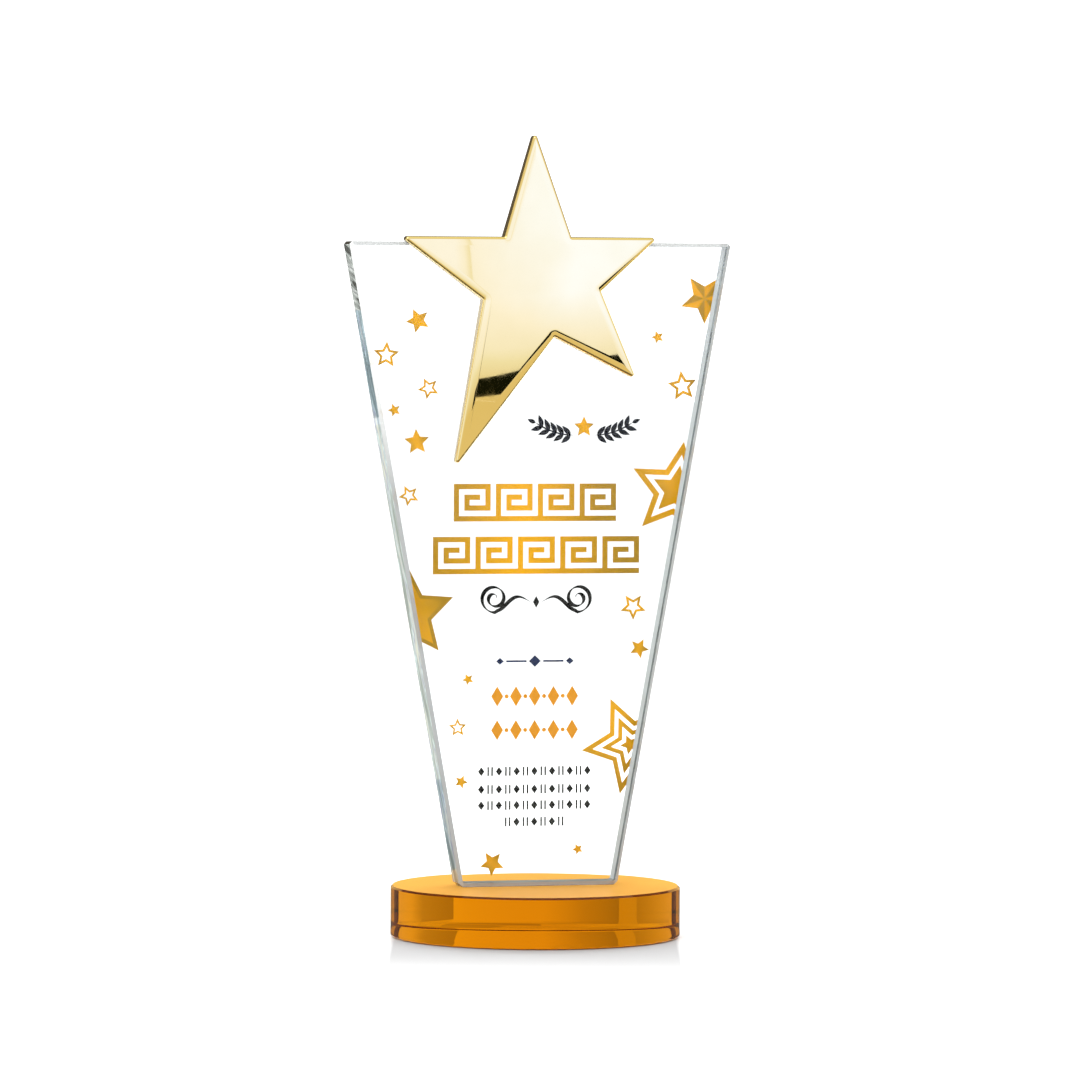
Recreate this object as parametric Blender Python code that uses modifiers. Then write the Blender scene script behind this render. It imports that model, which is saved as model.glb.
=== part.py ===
"""Star trophy: a tapered clear glass plate standing on an amber glass disc, with a cast metal
star bonded to the front of the plate.

Metres, +Z up, front towards -Y. The origin is the centre of the base's underside. Nothing moves:
every piece is held to its neighbour by a film of clear adhesive.
"""

from math import atan2, cos, pi, radians, sin, tan

import bmesh
import bpy
from mathutils import Vector

MM = 0.001

# Base: a turned disc with polished chamfers
BASE_DIAMETER = 108.0 * MM
BASE_HEIGHT = 19.0 * MM
BASE_CHAMFER = 0.8 * MM
BASE_STEPS = 128

# Adhesive films, and the clearance that keeps touching solids from overlapping
BASE_FILM = 0.3 * MM
STAR_FILM = 0.4 * MM
FILM_CLEARANCE = 0.02 * MM

# Plate: an upside-down trapezoid with a chamfer on every edge
PLATE_TOP_WIDTH = 146.0 * MM
PLATE_FOOT_WIDTH = 60.5 * MM
PLATE_THICKNESS = 12.7 * MM
PLATE_TOP_Z = 258.5 * MM
PLATE_CHAMFER = 1.3 * MM
PLATE_FOOT_Z = BASE_HEIGHT + BASE_FILM
PLATE_FRONT_Y = -PLATE_THICKNESS / 2

# Star: its corners before rounding, as (x, z) clockwise from the top tip
STAR_THICKNESS = 5.5 * MM
STAR_RIM = 2.0 * MM
STAR_TIP_RADIUS = 1.0 * MM
STAR_NOTCH_RADIUS = 0.4 * MM
STAR_ARMS_Z = 260.5 * MM
STAR_CORNERS = [
    (-3.8 * MM, 300.2 * MM),
    (10.0 * MM, STAR_ARMS_Z),
    (43.6 * MM, STAR_ARMS_Z),
    (21.5 * MM, 240.4 * MM),
    (35.5 * MM, 207.6 * MM),
    (3.6 * MM, 223.4 * MM),
    (-34.1 * MM, 174.0 * MM),
    (-23.6 * MM, 237.2 * MM),
    (-54.8 * MM, STAR_ARMS_Z),
    (-15.6 * MM, STAR_ARMS_Z),
]
STAR_BACK_Y = PLATE_FRONT_Y - STAR_FILM
STAR_SHARPEST_CORNER = 0.05 * MM
CORNER_STEPS = 6
RIM_STEPS = 5

# Star adhesive: a pad inside the part of the star that lies over the glass
PAD_INSET = 4.0 * MM
PAD_BELOW_PLATE_TOP = 4.0 * MM

COLOURS = {
    "amber_glass": ((0.80, 0.36, 0.04), 0.05, 0.0),
    "clear_glass": ((0.86, 0.92, 0.91), 0.04, 0.0),
    "gold_plate": ((0.92, 0.72, 0.32), 0.12, 1.0),
    "clear_adhesive": ((0.90, 0.90, 0.87), 0.20, 0.0),
}


def clear_scene():
    for obj in list(bpy.data.objects):
        bpy.data.objects.remove(obj)


def make_collection(name):
    collection = bpy.data.collections.new(name)
    bpy.context.scene.collection.children.link(collection)
    return collection


def make_material(name):
    colour, roughness, metallic = COLOURS[name]
    material = bpy.data.materials.new(name)
    material.use_nodes = True
    material.diffuse_color = (*colour, 1.0)
    shader = material.node_tree.nodes["Principled BSDF"]
    shader.inputs["Base Color"].default_value = (*colour, 1.0)
    shader.inputs["Roughness"].default_value = roughness
    shader.inputs["Metallic"].default_value = metallic
    return material


def mesh_object(name, mesh, collection, material):
    obj = bpy.data.objects.new(name, mesh)
    mesh.materials.append(material)
    collection.objects.link(obj)
    return obj


def face_front(obj, y_middle):
    """Stands an outline drawn in XY upright: its Y becomes +Z, and its +Z side faces the front."""
    obj.rotation_euler = (pi / 2, 0.0, 0.0)
    obj.location = (0.0, y_middle, 0.0)
    return obj


def flat_outline(name, corners, thickness, collection, material):
    """A plate with straight sides, centred on its own thickness."""
    curve = bpy.data.curves.new(name, "CURVE")
    curve.dimensions = "2D"
    curve.fill_mode = "BOTH"
    curve.extrude = thickness / 2
    spline = curve.splines.new("POLY")
    spline.points.add(len(corners) - 1)
    for point, (x, z) in zip(spline.points, corners):
        point.co = (x, z, 0.0, 1.0)
    spline.use_cyclic_u = True
    curve.materials.append(material)
    obj = bpy.data.objects.new(name, curve)
    collection.objects.link(obj)
    return obj


def chamfer(obj, width):
    """A curve's caps are loose, so they are welded before the bevel."""
    weld = obj.modifiers.new("weld", "WELD")
    weld.merge_threshold = 0.00001
    bevel = obj.modifiers.new("chamfer", "BEVEL")
    bevel.width = width
    bevel.segments = 1
    bevel.limit_method = "ANGLE"
    bevel.angle_limit = radians(30)
    return obj


def amber_base(collection):
    """The disc's half section, from the top's centre down its outer side, turned by a Screw."""
    radius = BASE_DIAMETER / 2
    section = [
        (0.0, BASE_HEIGHT),
        (radius - BASE_CHAMFER, BASE_HEIGHT),
        (radius, BASE_HEIGHT - BASE_CHAMFER),
        (radius, BASE_CHAMFER),
        (radius - BASE_CHAMFER, 0.0),
        (0.0, 0.0),
    ]
    mesh = bpy.data.meshes.new("amber_base")
    points = [(r, 0.0, z) for r, z in section]
    edges = [(i, i + 1) for i in range(len(points) - 1)]
    mesh.from_pydata(points, edges, [])
    base = mesh_object("amber_base", mesh, collection, make_material("amber_glass"))
    screw = base.modifiers.new("turn", "SCREW")
    screw.axis = "Z"
    screw.steps = BASE_STEPS
    screw.render_steps = BASE_STEPS
    screw.use_merge_vertices = True
    screw.merge_threshold = 0.00001
    return base


def glass_plate(collection):
    corners = [
        (-PLATE_FOOT_WIDTH / 2, PLATE_FOOT_Z),
        (PLATE_FOOT_WIDTH / 2, PLATE_FOOT_Z),
        (PLATE_TOP_WIDTH / 2, PLATE_TOP_Z),
        (-PLATE_TOP_WIDTH / 2, PLATE_TOP_Z),
    ]
    plate = flat_outline(
        "glass_plate", corners, PLATE_THICKNESS, collection, make_material("clear_glass")
    )
    return chamfer(face_front(plate, 0.0), PLATE_CHAMFER)


def base_film(collection, adhesive):
    """The film between the base and the flat of the plate's foot."""
    flat = PLATE_THICKNESS / 2 - PLATE_CHAMFER
    bpy.ops.mesh.primitive_cube_add(size=1.0)
    film = bpy.context.object
    film.name = "base_film"
    film.scale = (
        PLATE_FOOT_WIDTH - 2 * PLATE_CHAMFER,
        2 * flat,
        BASE_FILM - 2 * FILM_CLEARANCE,
    )
    film.location = (0.0, 0.0, BASE_HEIGHT + BASE_FILM / 2)
    film.data.materials.append(adhesive)
    for owner in film.users_collection:
        owner.objects.unlink(film)
    collection.objects.link(film)
    return film


def inset_corners(corners, inset):
    """The corners of a clockwise outline whose sides have all moved inwards by the same distance."""
    moved = []
    for i, corner in enumerate(corners):
        here = Vector(corner)
        before = (here - Vector(corners[i - 1])).normalized()
        after = (Vector(corners[(i + 1) % len(corners)]) - here).normalized()
        inward_before = Vector((before.y, -before.x))
        inward_after = Vector((after.y, -after.x))
        across = (inward_before + inward_after).normalized()
        moved.append(here + across * inset / across.dot(inward_after))
    return moved


def round_corner(before, here, after, radius):
    """The points of an arc of that radius between the two sides that meet at a corner."""
    to_before = (before - here).normalized()
    to_after = (after - here).normalized()
    half_angle = to_before.angle(to_after) / 2
    middle = (to_before + to_after).normalized()
    centre = here + middle * radius / sin(half_angle)
    start = here + to_before * radius / tan(half_angle) - centre
    end = here + to_after * radius / tan(half_angle) - centre
    first = atan2(start.y, start.x)
    sweep = (atan2(end.y, end.x) - first + pi) % (2 * pi) - pi
    ring = []
    for step in range(CORNER_STEPS + 1):
        angle = first + sweep * step / CORNER_STEPS
        ring.append(centre + Vector((cos(angle), sin(angle))) * radius)
    return ring


def star_outline(inset):
    """The star's outline moved inwards, with rounded tips and notches."""
    corners = inset_corners(STAR_CORNERS, inset)
    ring = []
    for i, here in enumerate(corners):
        is_tip = i % 2 == 0
        radius = STAR_TIP_RADIUS - inset if is_tip else STAR_NOTCH_RADIUS + inset
        radius = max(radius, STAR_SHARPEST_CORNER)
        ring += round_corner(corners[i - 1], here, corners[(i + 1) % len(corners)], radius)
    return ring


def cast_star(collection):
    """A flat-backed casting: a straight wall, then a round rim up to the front face."""
    levels = [(0.0, 0.0)]
    for step in range(RIM_STEPS + 1):
        angle = step / RIM_STEPS * pi / 2
        inset = STAR_RIM * (1 - cos(angle))
        height = STAR_THICKNESS - STAR_RIM + STAR_RIM * sin(angle)
        levels.append((inset, height))
    shape = bmesh.new()
    rings = []
    for inset, height in levels:
        outline = star_outline(inset)
        rings.append([shape.verts.new((p.x, p.y, height)) for p in outline])
    for lower, upper in zip(rings, rings[1:]):
        for i in range(len(lower)):
            j = (i + 1) % len(lower)
            shape.faces.new((lower[j], lower[i], upper[i], upper[j]))
    shape.faces.new(rings[0])
    shape.faces.new(reversed(rings[-1]))
    bmesh.ops.recalc_face_normals(shape, faces=shape.faces)
    mesh = bpy.data.meshes.new("cast_star")
    shape.to_mesh(mesh)
    shape.free()
    star = mesh_object("cast_star", mesh, collection, make_material("gold_plate"))
    return face_front(star, STAR_BACK_Y)


def star_pad(collection, adhesive):
    """The adhesive behind the star, which leaves out its upper arm because no glass backs it."""
    inner = inset_corners(STAR_CORNERS, PAD_INSET)
    top = PLATE_TOP_Z - PAD_BELOW_PLATE_TOP
    corners = [(p.x, min(p.y, top)) for p in inner[2:9]]
    thickness = STAR_FILM - 2 * FILM_CLEARANCE
    pad = flat_outline("star_pad", corners, thickness, collection, adhesive)
    return face_front(pad, PLATE_FRONT_Y - STAR_FILM / 2)


def main():
    clear_scene()
    trophy = make_collection("star_trophy")
    adhesive = make_material("clear_adhesive")
    amber_base(trophy)
    base_film(trophy, adhesive)
    glass_plate(trophy)
    star_pad(trophy, adhesive)
    cast_star(trophy)
    bpy.context.view_layer.update()


main()
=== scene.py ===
"""Star trophy: the looks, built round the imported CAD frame.

Metres, +Z up, front towards -Y, in the frame's own axes. The two adhesive films are the CAD
nodes with better materials. The base, the plate and the star are finer meshes that replace their
nodes. The print is a set of thin ink films on the plate's back face.
"""

from math import asin, atan2, cos, hypot, pi, radians, sin, tan

import bmesh
import bpy
from mathutils import Matrix, Vector

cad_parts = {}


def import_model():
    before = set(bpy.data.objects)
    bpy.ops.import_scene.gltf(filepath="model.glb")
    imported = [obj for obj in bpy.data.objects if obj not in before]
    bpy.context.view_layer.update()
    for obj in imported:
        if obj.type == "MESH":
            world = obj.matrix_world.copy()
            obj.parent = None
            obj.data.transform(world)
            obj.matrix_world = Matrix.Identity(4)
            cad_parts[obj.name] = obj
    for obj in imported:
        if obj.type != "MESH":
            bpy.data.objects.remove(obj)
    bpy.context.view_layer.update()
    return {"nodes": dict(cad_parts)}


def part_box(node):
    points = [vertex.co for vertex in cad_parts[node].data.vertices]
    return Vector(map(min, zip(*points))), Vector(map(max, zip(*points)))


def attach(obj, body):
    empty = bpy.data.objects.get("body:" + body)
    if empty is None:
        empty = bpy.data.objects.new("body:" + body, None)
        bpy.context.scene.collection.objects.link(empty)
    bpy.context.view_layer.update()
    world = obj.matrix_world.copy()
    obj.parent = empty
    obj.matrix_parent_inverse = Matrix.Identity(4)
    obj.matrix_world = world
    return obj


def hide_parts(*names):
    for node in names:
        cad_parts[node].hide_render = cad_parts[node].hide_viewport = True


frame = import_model()

MM = 0.001

# The view: the camera stands a little to the left of the front and looks slightly down
VIEW_AZIMUTH = 14.0
VIEW_DROP = 2.139
VIEW_ROLL = 0.25
VIEW_TARGET = Vector((1.18, -0.30, 147.77)) * MM
CAMERA_GAP = 2.4
LENS_LENGTH = 214.75
SENSOR_WIDTH = 36.0

# What the frame says
BASE_LOW, BASE_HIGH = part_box("amber_base")
PLATE_LOW, PLATE_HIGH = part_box("glass_plate")
STAR_LOW, STAR_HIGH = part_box("cast_star")

# Base
BASE_CHAMFER = 0.8 * MM
BASE_EASE = 0.8 * MM
BASE_EASE_STEPS = 6
BASE_STEPS = 360
# Share of the base's top that scatters its painted reflection colour, and the roughness of satin
# faces
TOP_GROUND = 0.88
SATIN = 0.25

# Plate, as its outline was before the chamfer
PLATE_TOP_WIDTH = 146.0 * MM
PLATE_FOOT_WIDTH = 60.5 * MM
PLATE_CHAMFER = 1.3 * MM
PLATE_CORNER_CUT = 1.1 * MM
PLATE_GROUND = 0.85
# How far down the painted glints reach, and where the painted dark stripe on the right side stops
# below the top and begins towards the rear
GLINT_HEIGHT = 25.5 * MM
DARK_LINE_BELOW_TOP = 33.0 * MM
DARK_LINE_Y = 1.4 * MM

# Star: the CAD outline, with a tighter rim and a crowned face
STAR_RIM = 1.1 * MM
STAR_WALL = 0.5 * MM
STAR_TIP_RADIUS = 1.0 * MM
STAR_NOTCH_RADIUS = 0.4 * MM
STAR_SHARPEST_CORNER = 0.05 * MM
STAR_ARMS_Z = 260.5 * MM
STAR_CORNERS = [
    (-3.8 * MM, 300.2 * MM),
    (10.0 * MM, STAR_ARMS_Z),
    (43.6 * MM, STAR_ARMS_Z),
    (21.5 * MM, 240.4 * MM),
    (35.5 * MM, 207.6 * MM),
    (3.6 * MM, 223.4 * MM),
    (-34.1 * MM, 174.0 * MM),
    (-23.6 * MM, 237.2 * MM),
    (-54.8 * MM, STAR_ARMS_Z),
    (-15.6 * MM, STAR_ARMS_Z),
]
CORNER_STEPS = 10
RIM_STEPS = 10
FACE_CELL = 3.0 * MM
CROWN_CENTRE = Vector((-2.0 * MM, 240.0 * MM))
CROWN_RADIUS = 1000.0 * MM
PILLOW_WIDTH = 2.2 * MM
PILLOW_LEAN = 3.5
PILLOW_STEPS = 6
FACE_WAVES = [
    (31.0 * MM, 0.9, 0.006 * MM),
    (47.0 * MM, 2.3, 0.008 * MM),
    (19.0 * MM, 1.9, 0.002 * MM),
]

# Glass and print
GLASS_INDEX = 1.5
INK_GAP = 0.02 * MM
INK_THICKNESS = 0.06 * MM
INK_WELD = 0.002 * MM
PRINT_STAR_RATIO = 0.48
LEAF_STEPS = 6
DOT_STEPS = 12
STEM_STEPS = 16
SCROLL_STEPS = 48
PLAIN_TONE = 0.5


# Studio: the floor with its painted grey strip of reflection and shadow, the lamps, and the cards
# that only some rays see
FLOOR_REACH = 12.0
FLOOR_Z = -0.2 * MM
SHADE_REACH = 210.0 * MM
SHADE_FULL = 40.0 * MM
SHADE_SOFT = 2.0 * MM
KEY_PLACE = (-0.9, -1.2, 1.6)
KEY_TARGET = (0.0, 0.0, 0.15)
BACK_PLACE = (0.2, 0.8, 1.5)
BACK_TARGET = (0.0, 0.0, 0.0)
BACKDROP_REACH = 40.0 * MM
BACKDROP_HEIGHT = 13.0 * MM
LIGHT_DISTANCE = 2.05
CURTAIN_DISTANCE = 2.1
STRIP_DISTANCE = 2.0
CEILING_REACH = 2.2
CEILING_SPLIT_Y = 0.6
CEILING_Z = 2.0

# ---------- node helpers


def new_material(name):
    """A material, its node tree and its main shader."""
    material = bpy.data.materials.new(name)
    material.use_nodes = True
    return material, material.node_tree, material.node_tree.nodes["Principled BSDF"]


def add(tree, kind, settings=(), **values):
    """A node, with its settings and with its inputs' values by name."""
    node = tree.nodes.new(kind)
    for key, value in dict(settings).items():
        setattr(node, key, value)
    for key, value in values.items():
        node.inputs[key.replace("_", " ")].default_value = value
    return node


def link(tree, source, output, target, entry):
    tree.links.new(source.outputs[output], target.inputs[entry])


def math_node(tree, operation, *entries):
    """A math node. Each entry is a number, or a node and the name of its output."""
    node = add(tree, "ShaderNodeMath", {"operation": operation})
    for i, entry in enumerate(entries):
        if isinstance(entry, tuple):
            link(tree, *entry, node, i)
        else:
            node.inputs[i].default_value = entry
    return node


def ramp(tree, source, output, stops):
    """A colour ramp fed by an output. Each stop is (position, colour)."""
    node = add(tree, "ShaderNodeValToRGB")
    elements = node.color_ramp.elements
    while len(elements) < len(stops):
        elements.new(0.5)
    for element, (position, colour) in zip(elements, stops):
        element.position = position
        element.color = (*colour, 1.0)
    link(tree, source, output, node, "Fac")
    return node


def noise(tree, scale, detail=2.0):
    """Noise in the object's own metres."""
    place = add(tree, "ShaderNodeTexCoord")
    node = add(tree, "ShaderNodeTexNoise", Scale=scale, Detail=detail)
    link(tree, place, "Object", node, "Vector")
    return node


def set_roughness(tree, shader, source, output, low, high):
    """Roughness that runs from low to high with an output."""
    spread = add(tree, "ShaderNodeMapRange", To_Min=low, To_Max=high)
    link(tree, source, output, spread, "Value")
    link(tree, spread, "Result", shader, "Roughness")


def set_polish(tree, shader, texture, smears, ground, satin):
    """Polished with faint smears, and satin where the mask is 1."""
    spread = math_node(tree, "MULTIPLY", (texture, "Fac"), smears)
    roughness = math_node(tree, "MULTIPLY_ADD", (ground, "Value"), satin, (spread, "Value"))
    link(tree, roughness, "Value", shader, "Roughness")


def set_clearness(tree, shader, ground, share):
    """Clear glass that scatters a share of the light where the mask is 1."""
    clear = math_node(tree, "MULTIPLY_ADD", (ground, "Value"), -share, 1.0)
    link(tree, clear, "Value", shader, "Transmission Weight")


def set_absorption(tree, colour, density):
    """Glass that tints light by how far it travels."""
    volume = add(tree, "ShaderNodeVolumeAbsorption", Density=density, Color=(*colour, 1.0))
    link(tree, volume, "Volume", tree.nodes["Material Output"], "Volume")


# ---------- materials


def facing(tree, axis, low, high=2.0):
    """A mask of the faces whose normal has a part from low to high along an axis, either way."""
    geometry = add(tree, "ShaderNodeNewGeometry")
    parts = add(tree, "ShaderNodeSeparateXYZ")
    link(tree, geometry, "True Normal", parts, "Vector")
    size = math_node(tree, "ABSOLUTE", (parts, axis))
    return math_node(tree, "COMPARE", (size, "Value"), (low + high) / 2, (high - low) / 2)


TEXTURE_SPACE = {"vector_type": "TEXTURE"}


def stretched_noise(tree, tilt, stretch, scale):
    """Noise drawn out by a factor along each axis, once it has been tilted about X."""
    place = add(tree, "ShaderNodeTexCoord")
    turned_by = (radians(tilt), 0.0, 0.0)
    turn = add(tree, "ShaderNodeMapping", TEXTURE_SPACE, Rotation=turned_by, Scale=stretch)
    link(tree, place, "Object", turn, "Vector")
    node = add(tree, "ShaderNodeTexNoise", Scale=scale, Detail=2.0)
    link(tree, turn, "Vector", node, "Vector")
    return node


def mixed(tree, share, first, second):
    """One colour where the share is 0, the other where it is 1."""
    node = add(tree, "ShaderNodeMix", {"data_type": "RGBA"})
    sockets = [socket for socket in node.inputs if socket.type == "RGBA"]
    tree.links.new(share.outputs[0], node.inputs[0])
    for socket, colour in zip(sockets, (first, second)):
        if isinstance(colour, tuple):
            socket.default_value = (*colour, 1.0)
        else:
            tree.links.new(next(o for o in colour.outputs if o.enabled), socket)
    return node


def link_colour(tree, source, shader):
    """The shader's colour, from a node whose enabled output is its colour."""
    output = next(o for o in source.outputs if o.enabled)
    tree.links.new(output, shader.inputs["Base Color"])


def place_parts(tree):
    """The X, Y and Z of each point, in metres."""
    place = add(tree, "ShaderNodeTexCoord")
    parts = add(tree, "ShaderNodeSeparateXYZ")
    link(tree, place, "Object", parts, "Vector")
    return parts


def beyond(tree, axis, limit):
    """A mask of what lies beyond a limit along an axis."""
    return math_node(tree, "GREATER_THAN", (place_parts(tree), axis), limit)


def chamfer_painted_tones(tree):
    """Painted reflection and refraction for the chamfers: grey in front, paler high up on the left.
    The upright ones at the back are palest, because the plate dims what is seen through it."""
    parts = place_parts(tree)
    left = ramp(tree, parts, "Z", [(0.165, (0.29, 0.30, 0.30)), (0.215, (0.66, 0.67, 0.66))])
    front = mixed(tree, beyond(tree, "X", 0.0), left, (0.31, 0.32, 0.32))
    upright = mixed(tree, beyond(tree, "Y", 0.0), front, (0.70, 0.71, 0.71))
    return mixed(tree, facing(tree, "Z", 0.5, 0.9), upright, (0.40, 0.41, 0.41))


def edge_painted_tones(tree):
    """The plate's narrow sides, with painted refraction. The left one has painted slanted glints
    near its top and painted long streaks below.
    The right one is grey, with a painted dark stripe of shade along its rear up to near the top."""
    bars = stretched_noise(tree, 15.0, (1.0, 9.0, 1.0), 330.0)
    glints = ramp(tree, bars, "Fac", [
        (0.38, (0.06, 0.07, 0.07)),
        (0.43, (0.30, 0.33, 0.32)),
        (0.50, (0.42, 0.46, 0.44)),
        (0.55, (0.70, 0.74, 0.72)),
        (0.60, (0.16, 0.18, 0.19)),
        (0.66, (0.68, 0.71, 0.69)),
    ])
    lines = stretched_noise(tree, -4.0, (1.0, 1.0, 20.0), 250.0)
    painted_streaks = ramp(tree, lines, "Fac", [
        (0.38, (0.16, 0.23, 0.26)),
        (0.44, (0.24, 0.33, 0.37)),
        (0.50, (0.28, 0.37, 0.40)),
        (0.54, (0.52, 0.68, 0.73)),
        (0.58, (0.24, 0.28, 0.42)),
        (0.64, (0.50, 0.56, 0.52)),
    ])
    left = mixed(tree, beyond(tree, "Z", PLATE_HIGH.z - GLINT_HEIGHT), painted_streaks, glints)
    dark = ramp(tree, lines, "Fac", [(0.35, (0.03, 0.04, 0.035)), (0.65, (0.12, 0.13, 0.125))])
    grey = ramp(tree, lines, "Fac", [(0.35, (0.36, 0.38, 0.38)), (0.65, (0.60, 0.62, 0.62))])
    # The dark stripe is painted shade, so that a thin dark line shows from the front.
    lined = mixed(tree, beyond(tree, "Y", DARK_LINE_Y), grey, dark)
    right = mixed(tree, beyond(tree, "Z", PLATE_HIGH.z - DARK_LINE_BELOW_TOP), lined, grey)
    return mixed(tree, beyond(tree, "X", 0.0), left, right)


def clear_glass():
    """Clear faces. The narrow sides and the chamfers are ground, so that they also scatter, and
    their colours are painted reflection and refraction.
    """
    material, tree, shader = new_material("clear_glass")
    shader.inputs["IOR"].default_value = GLASS_INDEX
    shader.inputs["Specular IOR Level"].default_value = 0.3
    shader.inputs["Specular Tint"].default_value = (0.25, 0.25, 0.25, 1.0)
    smears = noise(tree, 45.0)
    set_roughness(tree, shader, smears, "Fac", 0.0, 0.012)
    chamfer = facing(tree, "Y", 0.3, 0.9)
    side = facing(tree, "X", 0.8)
    # The chamfers and the narrow sides get painted reflection and refraction tones.
    chamfered = mixed(tree, chamfer, (1.0, 1.0, 1.0), chamfer_painted_tones(tree))
    link_colour(tree, mixed(tree, side, chamfered, edge_painted_tones(tree)), shader)
    ground = math_node(tree, "MAXIMUM", (chamfer, "Value"), (side, "Value"))
    set_clearness(tree, shader, ground, PLATE_GROUND)
    set_absorption(tree, (0.05, 0.66, 0.62), 2.6)
    return material


def amber_glass():
    """Clear at its side, satin on its top. The top's peach colour is a painted reflection of the
    pale surroundings over the amber glass.
    """
    material, tree, shader = new_material("amber_glass")
    shader.inputs["IOR"].default_value = GLASS_INDEX
    shader.inputs["Specular IOR Level"].default_value = 0.0
    shader.inputs["Specular Tint"].default_value = (0.4, 0.4, 0.4, 1.0)
    top = beyond(tree, "Z", BASE_HIGH.z - 0.05 * MM)
    # The top's colour is painted: it stands for the reflected white over the amber seen through it.
    link_colour(tree, mixed(tree, top, (1.0, 0.74, 0.32), (0.66, 0.33, 0.062)), shader)
    set_polish(tree, shader, noise(tree, 60.0), 0.02, top, SATIN)
    set_clearness(tree, shader, top, TOP_GROUND)
    set_absorption(tree, (0.925, 0.81, 0.0), 70.0)
    return material


def gold_plate():
    """Mirror-bright in front. On the cast walls it is duller, and browner with painted shade."""
    material, tree, shader = new_material("gold_plate")
    shader.inputs["Metallic"].default_value = 1.0
    tarnish = noise(tree, 35.0, 3.0)
    bright = ramp(tree, tarnish, "Fac", [(0.3, (0.79, 0.61, 0.25)), (0.7, (0.83, 0.65, 0.29))])
    # The walls that face sideways are painted a browner shade.
    wall = facing(tree, "Y", -1.0, 0.3)
    link_colour(tree, mixed(tree, wall, bright, (0.34, 0.25, 0.10)), shader)
    set_polish(tree, shader, noise(tree, 400.0, 4.0), 0.04, wall, SATIN)
    return material


def clear_adhesive():
    """A cured film, faintly clouded."""
    material, tree, shader = new_material("clear_adhesive")
    shader.inputs["Transmission Weight"].default_value = 0.9
    shader.inputs["IOR"].default_value = 1.45
    cloud = noise(tree, 120.0, 3.0)
    tint = ramp(tree, cloud, "Fac", [(0.3, (0.93, 0.92, 0.88)), (0.7, (0.97, 0.97, 0.95))])
    link(tree, tint, "Color", shader, "Base Color")
    set_roughness(tree, shader, cloud, "Fac", 0.12, 0.28)
    return material


def toned_ink(name, dark, light, roughness):
    """Ink whose colour follows the mesh's tone attribute, broken up by a fine grain."""
    material, tree, shader = new_material(name)
    shader.inputs["Specular IOR Level"].default_value = 0.1
    tone = add(tree, "ShaderNodeAttribute", {"attribute_name": "tone"})
    grain = noise(tree, 900.0, 3.0)
    graded = math_node(tree, "MULTIPLY_ADD", (grain, "Fac"), 0.10, (tone, "Fac"))
    tint = ramp(tree, graded, "Value", [(0.05, dark), (1.05, light)])
    link(tree, tint, "Color", shader, "Base Color")
    set_roughness(tree, shader, grain, "Fac", roughness - 0.06, roughness + 0.06)
    return material


# ---------- base


def turned(profile_at, steps):
    """A solid turned round Z. profile_at(angle) gives its (radius, z) points from the top down."""
    shape = bmesh.new()
    columns = []
    for step in range(steps):
        angle = 2 * pi * step / steps
        points = [(r * cos(angle), r * sin(angle), z) for r, z in profile_at(angle)]
        columns.append([shape.verts.new(point) for point in points])
    rings = list(zip(*columns))
    for upper, lower in zip(rings, rings[1:]):
        for i in range(steps):
            j = (i + 1) % steps
            shape.faces.new((upper[i], lower[i], lower[j], upper[j]))
    shape.faces.new(rings[0])
    shape.faces.new(reversed(rings[-1]))
    return shape


def object_from(shape, name):
    mesh = bpy.data.meshes.new(name)
    shape.to_mesh(mesh)
    shape.free()
    obj = bpy.data.objects.new(name, mesh)
    bpy.context.scene.collection.objects.link(obj)
    return obj


def amber_profile(angle):
    """The disc's half section: a chamfer above, and below an edge eased by hand, a bit uneven."""
    radius = (BASE_HIGH.x - BASE_LOW.x) / 2
    top = BASE_HIGH.z
    ease = BASE_EASE * (1 + 0.12 * sin(37 * angle) + 0.10 * sin(61 * angle + 1.0))
    profile = [
        (radius - BASE_CHAMFER, top),
        (radius, top - BASE_CHAMFER),
        (radius, 2 * BASE_EASE),
    ]
    for step in range(BASE_EASE_STEPS + 1):
        turn = pi / 2 * step / BASE_EASE_STEPS
        profile.append((radius - ease * (1 - cos(turn)), ease * (1 - sin(turn))))
    return profile


def amber_disc():
    """The base, turned finely enough for smooth refraction."""
    disc = object_from(turned(amber_profile, BASE_STEPS), "amber_disc")
    disc.data.shade_smooth()
    disc.data.set_sharp_from_angle(angle=radians(30))
    disc.data.materials.append(amber_glass())
    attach(disc, "root")
    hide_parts("amber_base")


# ---------- plate


def inset_corners(corners, inset):
    """The corners of a clockwise outline whose sides have all moved inwards by the same distance."""
    moved = []
    for i, corner in enumerate(corners):
        here = Vector(corner)
        before = (here - Vector(corners[i - 1])).normalized()
        after = (Vector(corners[(i + 1) % len(corners)]) - here).normalized()
        inward_before = Vector((before.y, -before.x))
        inward_after = Vector((after.y, -after.x))
        across = (inward_before + inward_after).normalized()
        moved.append(here + across * inset / across.dot(inward_after))
    return moved


def blunted(corners, cut):
    """The outline with every corner cut off."""
    blunt = []
    for i, corner in enumerate(corners):
        here = Vector(corner)
        before = (Vector(corners[i - 1]) - here).normalized()
        after = (Vector(corners[(i + 1) % len(corners)]) - here).normalized()
        blunt += [here + before * cut, here + after * cut]
    return blunt


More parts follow.
